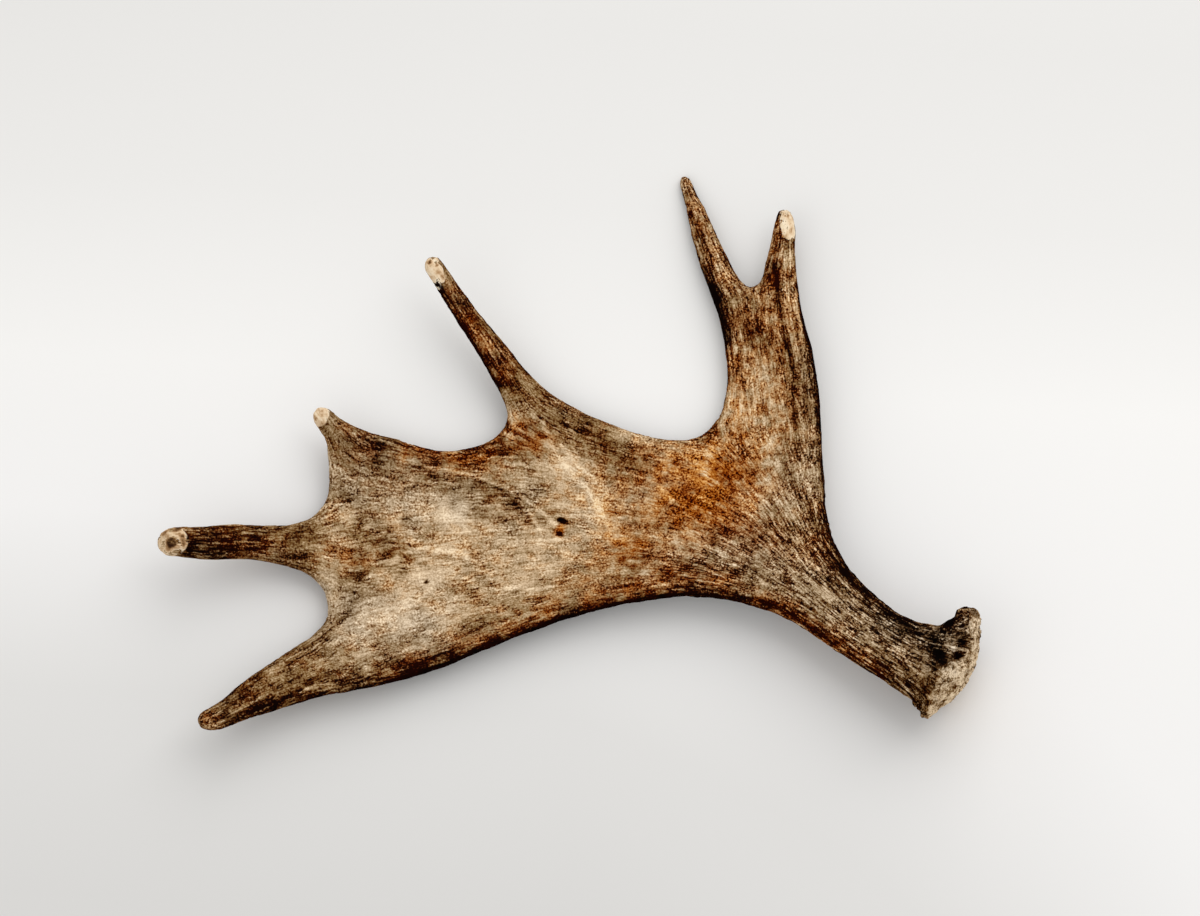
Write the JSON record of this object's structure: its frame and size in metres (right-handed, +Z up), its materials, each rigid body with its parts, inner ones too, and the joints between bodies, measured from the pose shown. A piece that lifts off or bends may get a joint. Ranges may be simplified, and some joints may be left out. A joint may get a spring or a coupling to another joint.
{
  "type": "moose antler",
  "caption": "Shed moose antler lying on its back: a burr and beam that fork into a broad hollowed palm with pointed tines and a smaller brow palm.",
  "frame": {"origin": "middle of the footprint, on the surface that the antler lies on", "axes": "+X from the outer points towards the burr, +Y towards the brow points, +Z up, out of the hollow side of the palm"},
  "size_m": [0.615, 0.4438, 0.082],
  "materials": {
    "antler": "dry weathered bone, streaked brown and cream"
  },
  "bodies": {
    "root": {"beam": "antler", "brow_palm": "antler", "main_palm": "antler"}
  },
  "joints": []
}
